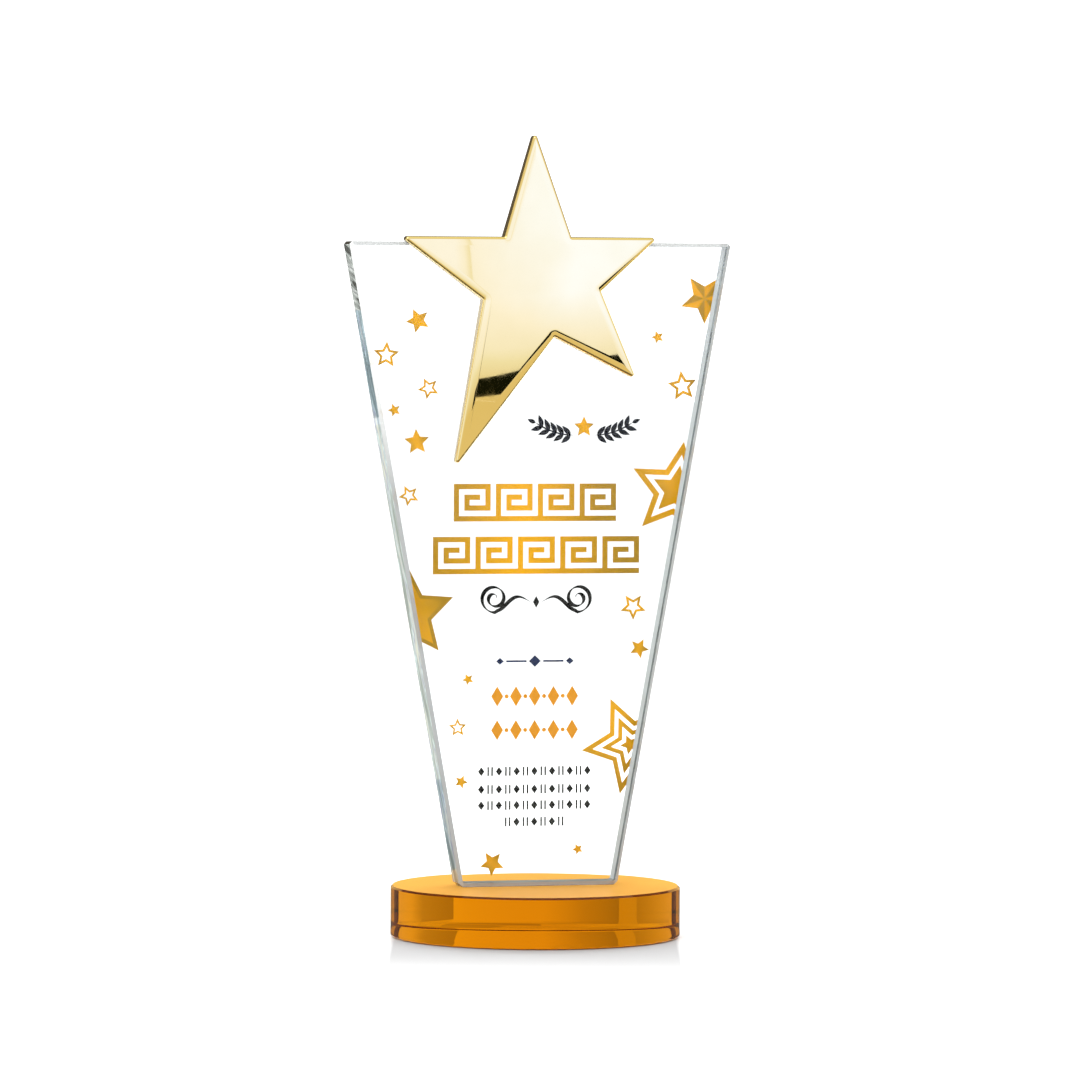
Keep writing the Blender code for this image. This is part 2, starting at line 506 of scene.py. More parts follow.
def chamfered_plate():
    """The glass plate, with the same chamfer along every edge."""
    top = PLATE_TOP_WIDTH / 2
    foot = PLATE_FOOT_WIDTH / 2
    corners = [(-top, PLATE_HIGH.z), (top, PLATE_HIGH.z), (foot, PLATE_LOW.z), (-foot, PLATE_LOW.z)]
    outline = blunted(corners, PLATE_CORNER_CUT)
    sections = [
        (PLATE_LOW.y, PLATE_CHAMFER),
        (PLATE_LOW.y + PLATE_CHAMFER, 0.0),
        (PLATE_HIGH.y - PLATE_CHAMFER, 0.0),
        (PLATE_HIGH.y, PLATE_CHAMFER),
    ]
    shape = bmesh.new()
    rings = []
    for y, inset in sections:
        rings.append([shape.verts.new((p.x, y, p.y)) for p in inset_corners(outline, inset)])
    for front, rear in zip(rings, rings[1:]):
        for i in range(len(front)):
            j = (i + 1) % len(front)
            shape.faces.new((front[i], front[j], rear[j], rear[i]))
    shape.faces.new(rings[0])
    shape.faces.new(reversed(rings[-1]))
    bmesh.ops.recalc_face_normals(shape, faces=shape.faces)
    plate = object_from(shape, "chamfered_plate")
    plate.data.materials.append(clear_glass())
    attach(plate, "root")
    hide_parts("glass_plate")


# ---------- star


def round_corner(before, here, after, radius):
    """Pairs of a point and its direction from the centre, along the arc that rounds a corner."""
    to_before = (before - here).normalized()
    to_after = (after - here).normalized()
    half_angle = to_before.angle(to_after) / 2
    middle = (to_before + to_after).normalized()
    centre = here + middle * radius / sin(half_angle)
    start = here + to_before * radius / tan(half_angle) - centre
    end = here + to_after * radius / tan(half_angle) - centre
    first = atan2(start.y, start.x)
    sweep = (atan2(end.y, end.x) - first + pi) % (2 * pi) - pi
    ring = []
    for step in range(CORNER_STEPS + 1):
        angle = first + sweep * step / CORNER_STEPS
        ray = Vector((cos(angle), sin(angle)))
        ring.append((centre + ray * radius, ray))
    return ring


def star_outline(inset):
    """Pairs of a point and its outward direction, round the star's outline moved inwards."""
    corners = inset_corners(STAR_CORNERS, inset)
    ring = []
    for i, here in enumerate(corners):
        is_tip = i % 2 == 0
        radius = STAR_TIP_RADIUS - inset if is_tip else STAR_NOTCH_RADIUS + inset
        radius = max(radius, STAR_SHARPEST_CORNER)
        arc = round_corner(corners[i - 1], here, corners[(i + 1) % len(corners)], radius)
        ring += [(point, ray if is_tip else -ray) for point, ray in arc]
    return ring


def crown_drop(x, z):
    """How far the crowned face falls away from its highest point, with a polisher's slight waves."""
    drop = (Vector((x, z)) - CROWN_CENTRE).length_squared / (2 * CROWN_RADIUS)
    for length, angle, height in FACE_WAVES:
        phase = 2 * pi * (x * cos(angle) + z * sin(angle)) / length
        drop += height * (1 + sin(phase))
    return drop


def crown_slope(x, z):
    """How fast the face falls away along X and along Z."""
    slope = (Vector((x, z)) - CROWN_CENTRE) / CROWN_RADIUS
    for length, angle, height in FACE_WAVES:
        way = Vector((cos(angle), sin(angle)))
        phase = 2 * pi * (x * way.x + z * way.y) / length
        slope += way * height * 2 * pi / length * cos(phase)
    return slope


def crown_normal(x, z, outward, tilt):
    """The normal of the crowned face where it also leans outwards by a tilt."""
    slope = crown_slope(x, z) * cos(tilt) ** 2
    lean = Vector((outward.x * sin(tilt), -cos(tilt), outward.y * sin(tilt)))
    return (lean + Vector((slope.x, 0.0, slope.y)) * cos(tilt)).normalized()


def cut_into_cells(shape, face, low, high, cell):
    """Cuts a flat face along a grid, so that it can be crowned."""
    cut = [face]
    for axis in (0, 2):
        steps = int((high[axis] - low[axis]) / cell)
        normal = [0.0, 0.0, 0.0]
        normal[axis] = 1.0
        for step in range(1, steps + 1):
            place = [0.0, 0.0, 0.0]
            place[axis] = low[axis] + step * cell
            edges = {e for f in cut for e in f.edges}
            verts = {v for f in cut for v in f.verts}
            done = bmesh.ops.bisect_plane(
                shape, geom=[*cut, *edges, *verts], plane_co=place, plane_no=normal, dist=1e-7
            )
            cut = [f for f in done["geom"] if isinstance(f, bmesh.types.BMFace)]
    return cut


def rim_levels(thickness):
    """The rim as (inset, height, tilt) from its wall up to where the face begins to be flat."""
    lean = radians(PILLOW_LEAN)
    edge_drop = tan(lean) * PILLOW_WIDTH / 2
    radius = STAR_RIM / (1 - sin(lean))
    levels = []
    for step in range(RIM_STEPS + 1):
        tilt = pi / 2 - (pi / 2 - lean) * step / RIM_STEPS
        height = thickness - edge_drop - radius * (cos(lean) - cos(tilt))
        levels.append((radius * (1 - sin(tilt)), height, tilt))
    for step in range(1, PILLOW_STEPS + 1):
        share = step / PILLOW_STEPS
        tilt = lean * (1 - share)
        height = thickness - edge_drop * (1 - share) ** 2
        levels.append((STAR_RIM + PILLOW_WIDTH * share, height, tilt))
    return levels


def polished_star():
    """The casting with a round rim, a gently crowned front face and exact normals."""
    back = STAR_HIGH.y
    thickness = back - STAR_LOW.y
    shape = bmesh.new()
    normals = {}

    def add_ring(inset, height, tilt):
        ring = []
        for point, outward in star_outline(inset):
            vert = shape.verts.new((point.x, back - height, point.y))
            normals[vert] = crown_normal(point.x, point.y, outward, tilt)
            ring.append(vert)
        return ring

    rings = [add_ring(0.0, 0.0, pi / 2)]
    rings += [add_ring(*level) for level in rim_levels(thickness)]
    for outer, inner in zip(rings, rings[1:]):
        for i in range(len(outer)):
            j = (i + 1) % len(outer)
            shape.faces.new((outer[j], outer[i], inner[i], inner[j]))
    face = shape.faces.new(reversed(rings[-1]))
    back_face = shape.faces.new(rings[0])
    cells = cut_into_cells(shape, face, STAR_LOW, STAR_HIGH, FACE_CELL)
    for vert in {v for f in cells for v in f.verts}:
        if vert not in normals:
            normals[vert] = crown_normal(vert.co.x, vert.co.z, Vector((0.0, 0.0)), 0.0)
    for vert in shape.verts:
        if vert.co.y < back - STAR_WALL:
            vert.co.y += crown_drop(vert.co.x, vert.co.z)
    shape.verts.index_update()
    shape.faces.index_update()
    vertex_normals = {vert.index: normal for vert, normal in normals.items()}
    back_index = back_face.index
    star = object_from(shape, "polished_star")
    mesh = star.data
    mesh.shade_smooth()
    corners = []
    for polygon in mesh.polygons:
        for vertex in polygon.vertices:
            is_back = polygon.index == back_index
            corners.append(Vector((0.0, 1.0, 0.0)) if is_back else vertex_normals[vertex])
    mesh.normals_split_custom_set(corners)
    mesh.materials.append(gold_plate())
    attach(star, "root")
    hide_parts("cast_star")


# ---------- print: shapes
# A printed shape is a list of polygons. A point is a Vector (x, z, tone): its place on the
# plate's back face, and from 0 to 1 how light its ink is.


def flat_half_width(z):
    """Half the width of the plate's flat back face at a height."""
    rise = (z - PLATE_LOW.z) / (PLATE_HIGH.z - PLATE_LOW.z)
    half = (PLATE_FOOT_WIDTH + (PLATE_TOP_WIDTH - PLATE_FOOT_WIDTH) * rise) / 2
    return half - PLATE_CHAMFER


def clipped(polygon, inside):
    """The part of a polygon where inside(point) isn't negative."""
    kept = []
    for before, here in zip([polygon[-1], *polygon[:-1]], polygon):
        a = inside(before)
        b = inside(here)
        if (a < 0) != (b < 0):
            kept.append(before.lerp(here, a / (a - b)))
        if b >= 0:
            kept.append(here)
    return kept


def on_plate(polygons):
    """The parts of the polygons that lie on the plate's flat back face."""
    kept = []
    for polygon in polygons:
        for side in (-1.0, 1.0):
            if polygon:
                polygon = clipped(polygon, lambda p, s=side: flat_half_width(p.y) - s * p.x)
        if len(polygon) > 2:
            kept.append(polygon)
    return kept


def ink_piece(name, polygons, material):
    """The polygons as one thin film on the plate's back face."""
    shape = bmesh.new()
    tone = shape.loops.layers.float.new("tone")
    depth = PLATE_HIGH.y + INK_GAP
    for polygon in on_plate(polygons):
        verts = [shape.verts.new((p.x, depth, p.y)) for p in polygon]
        face = shape.faces.new(verts)
        for corner, point in zip(face.loops, polygon):
            corner[tone] = min(max(point.z, 0.0), 1.0)
    bmesh.ops.remove_doubles(shape, verts=shape.verts, dist=INK_WELD)
    bmesh.ops.recalc_face_normals(shape, faces=shape.faces)
    for face in shape.faces:
        if face.normal.y > 0:
            face.normal_flip()
    piece = object_from(shape, name)
    film = piece.modifiers.new("film", "SOLIDIFY")
    film.thickness = INK_THICKNESS
    film.offset = -1.0
    piece.data.materials.append(material)
    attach(piece, "root")


def star_ring(x, z, radius, tilt):
    """Ten corners, tips first and notches between, of a five-pointed star."""
    ring = []
    for i in range(10):
        reach = radius * (1.0 if i % 2 == 0 else PRINT_STAR_RATIO)
        angle = radians(90.0 + tilt) - i * pi / 5
        ring.append(Vector((x + reach * cos(angle), z + reach * sin(angle), 0.0)))
    return ring


def brushed(point, x, z, radius, tilt):
    """The point with the tone of a brushed disc: light and dark wedges round a light centre."""
    dx = point.x - x
    dz = point.y - z
    wedge = 0.5 + 0.5 * cos(2 * atan2(dz, dx) - radians(2 * tilt + 40.0))
    spread = min(hypot(dx, dz) / radius, 1.0)
    return Vector((point.x, point.y, 1.0 - spread * wedge))


def brushed_ring(x, z, radius, tilt, disc_radius):
    return [brushed(p, x, z, disc_radius, tilt) for p in star_ring(x, z, radius, tilt)]


def solid_star(x, z, radius, tilt):
    centre = Vector((x, z, 1.0))
    ring = brushed_ring(x, z, radius, tilt, radius)
    return [[centre, ring[i - 1], ring[i]] for i in range(10)]


def band_star(x, z, outer_radius, inner_radius, tilt):
    """The band between two stars with one centre."""
    outer = brushed_ring(x, z, outer_radius, tilt, outer_radius)
    inner = brushed_ring(x, z, inner_radius, tilt, outer_radius)
    return [[outer[i - 1], outer[i], inner[i], inner[i - 1]] for i in range(10)]


def plain(corners):
    """One polygon of an even tone."""
    return [[Vector((x, z, PLAIN_TONE)) for x, z in corners]]


def disc_dot(x, z, radius):
    angles = [2 * pi * step / DOT_STEPS for step in range(DOT_STEPS)]
    return plain([(x + radius * cos(angle), z + radius * sin(angle)) for angle in angles])


def lozenge(x, z, half_width, half_height):
    left = x - half_width
    right = x + half_width
    return plain([(left, z), (x, z + half_height), (right, z), (x, z - half_height)])


def bar(x0, x1, z0, z1):
    return plain([(x0, z0), (x1, z0), (x1, z1), (x0, z1)])


def leaf(x, z, length, width, angle):
    """A pointed leaf that grows from (x, z) along an angle."""
    along = Vector((cos(angle), sin(angle)))
    across = Vector((-sin(angle), cos(angle)))
    edge = []
    for side, steps in ((1.0, range(LEAF_STEPS)), (-1.0, range(LEAF_STEPS, 0, -1))):
        for step in steps:
            share = step / LEAF_STEPS
            bulge = sin(pi * share ** 0.8) * width / 2 * side
            edge.append(Vector((x, z)) + along * length * share + across * bulge)
    return plain(edge)


def pen_stroke(points, thin, thick, nib):
    """A line along points, drawn by a broad nib held at an angle, tapered at both ends."""
    left = []
    right = []
    last = len(points) - 1
    for i, here in enumerate(points):
        way = (points[min(i + 1, last)] - points[max(i - 1, 0)]).normalized()
        across = Vector((-way.y, way.x))
        broad = abs(sin(atan2(way.y, way.x) - nib))
        taper = min(1.0, 8.0 * i / last + 0.1, 8.0 * (last - i) / last + 0.1)
        half = (thin + (thick - thin) * broad) * taper / 2
        left.append((here + across * half).to_3d())
        right.append((here - across * half).to_3d())
    return [[left[i], left[i + 1], right[i + 1], right[i]] for i in range(last)]


# ---------- print: artwork

# Loose stars, as (x, z, radius, tilt in degrees) in millimetres
SOLID_STARS = [
    (-45.2, 229.3, 4.7, 23.7),
    (-54.1, 196.1, 2.5, 19.0),
    (-45.5, 184.3, 4.9, 4.0),
    (-25.6, 95.9, 2.25, 26.0),
    (-28.1, 57.7, 2.65, -23.0),
    (-16.1, 27.1, 4.8, 32.5),
    (16.8, 31.9, 2.2, 24.0),
    (46.8, 223.4, 2.5, 19.0),
    (40.2, 106.9, 3.85, -26.0),
]
OUTLINE_STARS = [
    (-57.2, 216.5, 5.1, -3.0),
    (-41.1, 204.2, 4.2, 26.0),
    (-48.4, 164.4, 4.0, 26.0),
    (-29.5, 77.9, 3.55, 2.0),
    (56.5, 205.1, 5.85, 7.0),
    (37.8, 122.6, 5.1, 36.0),
]
OUTLINE_SHARE = 0.58


def gold_stars(ink):
    polygons = []
    for x, z, radius, tilt in SOLID_STARS:
        polygons += solid_star(x * MM, z * MM, radius * MM, tilt)
    ink_piece("gold_star_print", polygons, ink)


def outline_stars(ink):
    polygons = []
    for x, z, radius, tilt in OUTLINE_STARS:
        inner = radius * OUTLINE_SHARE
        polygons += band_star(x * MM, z * MM, radius * MM, inner * MM, tilt)
    ink_piece("outline_star_print", polygons, ink)


def bordered_star(ink):
    """The large star at the left edge: a darker border round a lighter middle."""
    x, z, tilt = -47.8 * MM, 120.4 * MM, 2.7
    border = band_star(x, z, 17.5 * MM, 14.2 * MM, tilt)
    for polygon in border:
        for point in polygon:
            point.z *= 0.45
    ink_piece("bordered_star_print", border + solid_star(x, z, 14.2 * MM, tilt), ink)


def faceted_star(ink):
    """Each arm has a light half and a dark half, like a cut stone."""
    x, z, radius, tilt = 64.9 * MM, 237.9 * MM, 9.55 * MM, 36.0
    ring = star_ring(x, z, radius, tilt)
    centre = Vector((x, z))
    polygons = []
    for i in range(10):
        tone = 0.95 if i % 2 == 0 else 0.25
        polygons.append([Vector((p.x, p.y, tone)) for p in (centre, ring[i - 1], ring[i])])
    ink_piece("faceted_star_print", polygons, ink)


def nested_stars(ink):
    """The two large stars at the right edge, each inside the next."""
    x, z, tilt = 54.27 * MM, 165.84 * MM, -9.0
    polygons = band_star(x, z, 18.7 * MM, 13.7 * MM, tilt)
    polygons += solid_star(x, z, 9.8 * MM, tilt)
    x, z, tilt = 36.88 * MM, 70.84 * MM, 24.0
    polygons += band_star(x, z, 18.9 * MM, 14.6 * MM, tilt)
    polygons += band_star(x, z, 11.2 * MM, 7.4 * MM, tilt)
    polygons += solid_star(x, z, 3.9 * MM, tilt)
    ink_piece("nested_star_print", polygons, ink)


KEY_PATH = [(0, 0), (0, 6), (6, 6), (6, 2), (2, 2), (2, 4), (4, 4)]
KEY_WIDTH = 8


def key_cells(units):
    """The grid cells that a running Greek key covers."""
    cells = {(i, 0) for i in range(units * KEY_WIDTH - 1)}
    for unit in range(units):
        for (i0, j0), (i1, j1) in zip(KEY_PATH, KEY_PATH[1:]):
            for i in range(min(i0, i1), max(i0, i1) + 1):
                for j in range(min(j0, j1), max(j0, j1) + 1):
                    cells.add((unit * KEY_WIDTH + i, j))
    return cells


def greek_key(name, left, right, low, high, units, ink):
    """A frieze in the given rectangle, light in the middle and darker towards its ends."""
    step_x = (right - left) / (units * KEY_WIDTH - 1)
    step_z = (high - low) / 7
    middle = left + (right - left) * 0.42

    def corner(i, j):
        x = left + i * step_x
        fade = abs(x - middle) / (right - left) * 2
        return Vector((x, low + j * step_z, 1.0 - fade))

    polygons = []
    for i, j in sorted(key_cells(units)):
        polygons.append([corner(i, j), corner(i + 1, j), corner(i + 1, j + 1), corner(i, j + 1)])
    ink_piece(name, polygons, ink)


def laurel_spray(black, gold):
    """Two sprigs of laurel that grow outwards from a small star."""
    x, z = 18.5 * MM, 189.8 * MM
    polygons = []
    for side in (-1.0, 1.0):
        stem = []
        for step in range(STEM_STEPS + 1):
            share = step / STEM_STEPS
            out = (4.2 + 14.4 * share) * MM
            up = (4.6 * share ** 2 - 3.0) * MM
            stem.append(Vector((x + side * out, z + up)))
        polygons += pen_stroke(stem, 0.45 * MM, 0.8 * MM, 0.0)
        for i in range(1, STEM_STEPS - 1, 3):
            way = atan2(stem[i + 1].y - stem[i].y, abs(stem[i + 1].x - stem[i].x))
            for lean in (0.75, -0.75):
                angle = way + lean
                if side < 0:
                    angle = pi - angle
                polygons += leaf(stem[i].x, stem[i].y, 4.8 * MM, 1.9 * MM, angle)
        tip_angle = 0.4 if side > 0 else pi - 0.4
        polygons += leaf(stem[-1].x, stem[-1].y, 3.4 * MM, 1.6 * MM, tip_angle)
    ink_piece("laurel_print", polygons, black)
    ink_piece("laurel_star_print", solid_star(x, z, 4.0 * MM, 0.0), gold)


def scroll_tail(share):
    """The wavy stroke that leads from the middle of the flourish, in millimetres."""
    wave = sin(1.5 * pi * share) * (0.4 + 0.6 * share)
    return Vector((2.0 + 13.0 * share, 3.2 * wave))


def scroll_curl(share):
    """The spiral at the end of the stroke."""
    radius = 4.6 * (1 - share) ** 0.8 + 0.7
    angle = -pi / 2 + share * 3.4 * pi
    return Vector((16.0 + radius * cos(angle), 1.4 + radius * sin(angle)))


def flourish(black):
    """A calligrapher's divider: two mirrored scrolls that meet at a lozenge."""
    x, z = 0.4 * MM, 124.6 * MM
    polygons = []
    for side in (-1.0, 1.0):
        scroll = []
        for step in range(2 * SCROLL_STEPS + 1):
            if step < SCROLL_STEPS:
                place = scroll_tail(step / SCROLL_STEPS)
            else:
                place = scroll_curl(step / SCROLL_STEPS - 1)
            scroll.append(Vector((x + side * place.x * MM, z + place.y * MM)))
        polygons += pen_stroke(scroll, 0.35 * MM, 1.5 * MM, radians(35.0) * side)
    polygons += lozenge(x, z, 1.2 * MM, 2.2 * MM)
    ink_piece("flourish_print", polygons, black)


def navy_rule(navy):
    """A short rule with a lozenge in its middle and at each end."""
    z = 102.5 * MM
    polygons = []
    for side in (-1.0, 1.0):
        polygons += bar(side * 3.2 * MM, side * 11.0 * MM, z - 0.35 * MM, z + 0.35 * MM)
        polygons += lozenge(side * 13.4 * MM, z, 1.5 * MM, 1.3 * MM)
    polygons += lozenge(0.0, z, 2.3 * MM, 2.2 * MM)
    ink_piece("rule_print", polygons, navy)


def orange_bands(orange):
    """Two chains of lozenges with dots between."""
    polygons = []
    pitch = 7.2 * MM
    for z in (89.4 * MM, 76.8 * MM):
        for i in range(-2, 3):
            polygons += lozenge(i * pitch, z, 2.3 * MM, 3.8 * MM)
        for i in range(-2, 2):
            polygons += disc_dot((i + 0.5) * pitch, z, 0.8 * MM)
    ink_piece("lozenge_band_print", polygons, orange)


def fine_rows(black):
    """Four rows of small beads and reels."""
    polygons = []
    pitch = 3.4 * MM
    half_height = 1.7 * MM
    half_bar = 0.32 * MM
    for count, z in ((6, 61.4 * MM), (6, 54.7 * MM), (6, 48.7 * MM), (3, 42.5 * MM)):
        for i in range(-count, count + 1):
            if i % 2 == 0:
                polygons += lozenge(i * pitch, z, 1.25 * MM, half_height)
                continue
            for shift in (-0.75 * MM, 0.75 * MM):
                x = i * pitch + shift
                polygons += bar(x - half_bar, x + half_bar, z - half_height, z + half_height)
    ink_piece("bead_row_print", polygons, black)


def artwork():
    gold = toned_ink("gold_ink", (0.46, 0.25, 0.014), (1.0, 0.46, 0.006), 0.34)
    black = toned_ink("black_ink", (0.006, 0.006, 0.006), (0.014, 0.014, 0.014), 0.45)
    orange = toned_ink("orange_ink", (0.82, 0.30, 0.012), (0.94, 0.38, 0.016), 0.45)
    navy = toned_ink("navy_ink", (0.012, 0.022, 0.070), (0.02, 0.035, 0.11), 0.45)
    gold_stars(gold)
    outline_stars(gold)
    bordered_star(gold)
    faceted_star(gold)
    nested_stars(gold)
    greek_key("upper_key_print", -31.3 * MM, 31.0 * MM, 154.7 * MM, 168.7 * MM, 4, gold)
    greek_key("lower_key_print", -39.2 * MM, 40.0 * MM, 135.1 * MM, 149.0 * MM, 5, gold)
    laurel_spray(black, gold)
    flourish(black)
    navy_rule(navy)
    orange_bands(orange)
    fine_rows(black)


# ---------- carried-over CAD nodes


def finish_node(name, material):
    node = frame["nodes"][name]
    node.data.materials.clear()
    node.data.materials.append(material)


# ---------- studio


def hide_from(obj, *rays):
    for ray in rays:
        setattr(obj, "visible_" + ray, False)


def bare_material(name):
    """A material, its node tree and its output, with no shader yet."""
    material = bpy.data.materials.new(name)
    material.use_nodes = True
    material.node_tree.nodes.clear()
    return material, material.node_tree, add(material.node_tree, "ShaderNodeOutputMaterial")


def glow(name, colour, strength):
    """A material that only gives light."""
    material, tree, output = bare_material(name)
    emission = add(tree, "ShaderNodeEmission", Strength=strength, Color=(*colour, 1.0))
    link(tree, emission, "Emission", output, "Surface")
    return material


def staged(shape, name, material):
    """The shape as an object with its material."""
    obj = object_from(shape, name)
    obj.data.materials.append(material)
    return obj


def level_card(name, reach, near, far, z, material):
    """A level sheet as wide as twice the reach, from near to far along Y."""
    corners = ((-reach, near), (reach, near), (reach, far), (-reach, far))
    shape = bmesh.new()
    shape.faces.new([shape.verts.new((x, y, z)) for x, y in corners])
    return staged(shape, name, material)


def around(azimuth, distance, z):
    """A place round the object. Azimuth 0 is in front, and 90 degrees towards +X."""
    return (sin(radians(azimuth)) * distance, -cos(radians(azimuth)) * distance, z)


def toned_card(name, distance, azimuths, rows, material):
    """A curved upright card. Each row is (height, a tone for every azimuth)."""
    shape = bmesh.new()
    tone = shape.verts.layers.float.new("tone")
    grid = []
    for height, tones in rows:
        line = []
        for azimuth, value in zip(azimuths, tones):
            vert = shape.verts.new(around(azimuth, distance, height))
            vert[tone] = value
            line.append(vert)
        grid.append(line)
    for lower, upper in zip(grid, grid[1:]):
        for i in range(len(lower) - 1):
            shape.faces.new((lower[i], lower[i + 1], upper[i + 1], upper[i]))
    return staged(shape, name, material)


def painted_floor_shade(tree):
    """How grey the floor is: a painted reflection and shadow of the base, in a strip as wide as the
    base that fades out towards the camera.
    """
    place = add(tree, "ShaderNodeTexCoord")
    turned_by = (0.0, 0.0, radians(-VIEW_AZIMUTH))
    turn = add(tree, "ShaderNodeMapping", TEXTURE_SPACE, Rotation=turned_by)
    link(tree, place, "Object", turn, "Vector")
    parts = add(tree, "ShaderNodeSeparateXYZ")
    link(tree, turn, "Vector", parts, "Vector")
    across = math_node(tree, "ABSOLUTE", (parts, "X"))
    edge = BASE_HIGH.x
    ends = {"From_Min": edge - SHADE_SOFT, "From_Max": edge}
    beside = add(tree, "ShaderNodeMapRange", To_Min=1.0, To_Max=0.0, **ends)
    link(tree, across, "Value", beside, "Value")
    smooth = {"interpolation_type": "SMOOTHSTEP"}
    fade = add(tree, "ShaderNodeMapRange", smooth, From_Min=-SHADE_REACH, From_Max=-SHADE_FULL)
    link(tree, parts, "Y", fade, "Value")
    in_front = math_node(tree, "LESS_THAN", (parts, "Y"), 0.0)
    strip = math_node(tree, "MULTIPLY", (beside, "Result"), (fade, "Result"))
    return math_node(tree, "MULTIPLY", (strip, "Value"), (in_front, "Value"))


def floor():
    material, tree, output = bare_material("studio_floor")
    matt = add(tree, "ShaderNodeBsdfDiffuse")
    white = (0.93, 0.93, 0.93)
    # The grey strip is painted reflection and shadow of the base.
    colour = mixed(tree, painted_floor_shade(tree), white, (0.50, 0.50, 0.505))
    tree.links.new(next(o for o in colour.outputs if o.enabled), matt.inputs["Color"])
    gloss = add(tree, "ShaderNodeBsdfGlossy", Roughness=0.08)
    mix = add(tree, "ShaderNodeMixShader", Fac=0.06)
    tree.links.new(matt.outputs[0], mix.inputs[1])
    tree.links.new(gloss.outputs[0], mix.inputs[2])
    link(tree, mix, "Shader", output, "Surface")
    level_card("studio_floor", FLOOR_REACH, -FLOOR_REACH, FLOOR_REACH, FLOOR_Z, material)


def world():
    """White all round, darker straight above."""
    scene_world = bpy.data.worlds.new("studio")
    scene_world.use_nodes = True
    tree = scene_world.node_tree
    place = add(tree, "ShaderNodeTexCoord")
    parts = add(tree, "ShaderNodeSeparateXYZ")
    link(tree, place, "Generated", parts, "Vector")
    sky = ramp(tree, parts, "Z", [(0.86, (1.0, 1.0, 1.0)), (0.93, (0.2, 0.2, 0.2))])
    background = tree.nodes["Background"]
    background.inputs["Strength"].default_value = 1.5
    link(tree, sky, "Color", background, "Color")
    bpy.context.scene.world = scene_world


def softbox(name, place, target, size, power):
    lamp = bpy.data.lights.new(name, "AREA")
    lamp.shape = "RECTANGLE"
    lamp.size, lamp.size_y = size
    lamp.energy = power
    obj = bpy.data.objects.new(name, lamp)
    bpy.context.scene.collection.objects.link(obj)
    obj.location = place
    obj.rotation_euler = (Vector(target) - Vector(place)).to_track_quat("-Z", "Y").to_euler()
    return obj


def toned_glow(name, strength, stops):
    """Light whose colour follows the mesh's tone attribute."""
    material = glow(name, (1.0, 1.0, 1.0), strength)
    tree = material.node_tree
    tone = add(tree, "ShaderNodeAttribute", {"attribute_name": "tone"})
    colour = ramp(tree, tone, "Fac", stops)
    link(tree, colour, "Color", tree.nodes["Emission"], "Color")
    return material


def glow_below(name, colour, strength):
    """Light on a sheet's underside. From above the sheet is clear."""
    material = glow(name, colour, strength)
    tree = material.node_tree
    side = add(tree, "ShaderNodeNewGeometry")
    clear = add(tree, "ShaderNodeBsdfTransparent")
    mix = add(tree, "ShaderNodeMixShader")
    link(tree, side, "Backfacing", mix, "Fac")
    tree.links.new(clear.outputs[0], mix.inputs[1])
    tree.links.new(tree.nodes["Emission"].outputs[0], mix.inputs[2])
    link(tree, mix, "Shader", tree.nodes["Material Output"], "Surface")
    return material


def round_sheet(name, inner, outer, z, material):
    """A flat ring that faces up."""
    shape = bmesh.new()
    steps = 64
    rings = []
    for radius in (inner, outer):
        angles = [2 * pi * step / steps for step in range(steps)]
        rings.append([shape.verts.new((radius * cos(a), radius * sin(a), z)) for a in angles])
    for i in range(steps):
        j = (i + 1) % steps
        shape.faces.new((rings[0][i], rings[1][i], rings[1][j], rings[0][j]))
    return staged(shape, name, material)


# What stands close behind the base, as the view through its side shows it: (place, tone). The
# place runs from -1 to 1 across the base, and a repeated place is a sharp edge.
BACKDROP_TONES = [
    (-0.99, 0.75),
    (-0.972, 0.75),
    (-0.972, 0.0),
    (-0.938, 0.0),
    (-0.938, 1.0),
    (-0.84, 0.92),
    (-0.76, 0.62),
    (-0.53, 0.52),
    (-0.53, 1.0),
    (0.05, 0.95),
    (0.30, 0.66),
    (0.55, 0.46),
    (0.55, 0.74),
    (0.68, 0.72),
    (0.68, 0.56),
    (0.92, 0.90),
    (0.938, 0.90),
    (0.938, 0.0),
    (0.972, 0.0),
    (0.972, 0.75),
    (0.99, 0.75),
]


def backdrop_ray(place):
    """Where a level view into the base's side leaves it behind, and in which direction."""
    forward = Vector((sin(radians(VIEW_AZIMUTH)), cos(radians(VIEW_AZIMUTH))))
    right = Vector((forward.y, -forward.x))
    outside = asin(place)
    inside = asin(place / GLASS_INDEX)
    turn = 2 * (inside - outside)
    spot = 2 * inside - outside
    start = (forward * cos(spot) + right * sin(spot)) * BASE_HIGH.x
    return start, forward * cos(turn) + right * sin(turn)


def base_backdrop():
    """A toned fan on the floor behind the base, with a low wall along its far edge."""
    shape = bmesh.new()
    tone = shape.verts.layers.float.new("tone")
    columns = []
    for place, value in BACKDROP_TONES:
        start, way = backdrop_ray(place)
        far = start + way * BACKDROP_REACH
        column = []
        for point, z in ((start + way * 0.5 * MM, 0.0), (far, 0.0), (far, BACKDROP_HEIGHT)):
            vert = shape.verts.new((point.x, point.y, z))
            vert[tone] = value
            column.append(vert)
        columns.append(column)
    for i, (left, right) in enumerate(zip(columns, columns[1:])):
        if BACKDROP_TONES[i][0] == BACKDROP_TONES[i + 1][0]:
            continue
        for low, high in ((0, 1), (1, 2)):
            shape.faces.new((left[low], right[low], right[high], left[high]))
    stops = [(0.0, (0.0, 0.0, 0.0)), (1.0, (1.0, 1.0, 1.0))]
    obj = staged(shape, "base_backdrop", toned_glow("backdrop_light", 1.4, stops))
    hide_from(obj, "camera", "diffuse", "glossy", "shadow")


